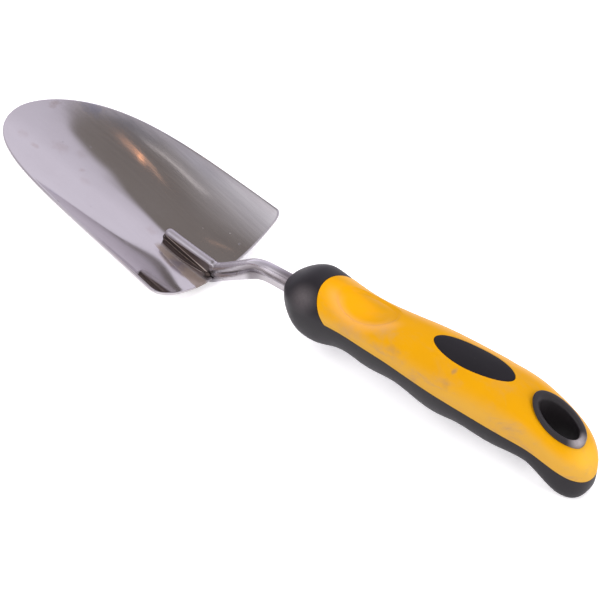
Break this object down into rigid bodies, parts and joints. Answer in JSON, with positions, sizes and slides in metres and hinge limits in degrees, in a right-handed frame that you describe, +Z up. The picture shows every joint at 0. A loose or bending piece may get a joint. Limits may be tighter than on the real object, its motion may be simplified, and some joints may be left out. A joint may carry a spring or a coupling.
{
  "type": "garden hand trowel",
  "caption": "Garden hand trowel with a pressed steel scoop blade, a cranked steel neck and a bicolour moulded grip with a hang hole at the butt.",
  "frame": {"origin": "centre of the bounding box in plan, on the table that the trowel lies on", "axes": "+X towards the butt of the handle, with the blade's nose at -X; +Z up, the open side of the blade; mirror plane Y = 0"},
  "size_m": [0.3228, 0.0802, 0.04],
  "materials": {
    "steel": "bright stainless sheet, faintly brushed, with light stains",
    "weld": "heat-tinted weld, rough",
    "yellow_skin": "satin moulded plastic, slightly grimy",
    "black_skin": "soft-touch, matte, lightly scuffed",
    "core": "plain moulded"
  },
  "bodies": {
    "root": {"blade": "steel", "neck": "steel", "weld_tongue": "weld", "weld_underside": "weld", "handle_core": "core", "grip_lower": "black_skin", "shell_upper": "yellow_skin", "inlay_oval": "black_skin", "hang_eyelet": "black_skin"}
  },
  "joints": []
}
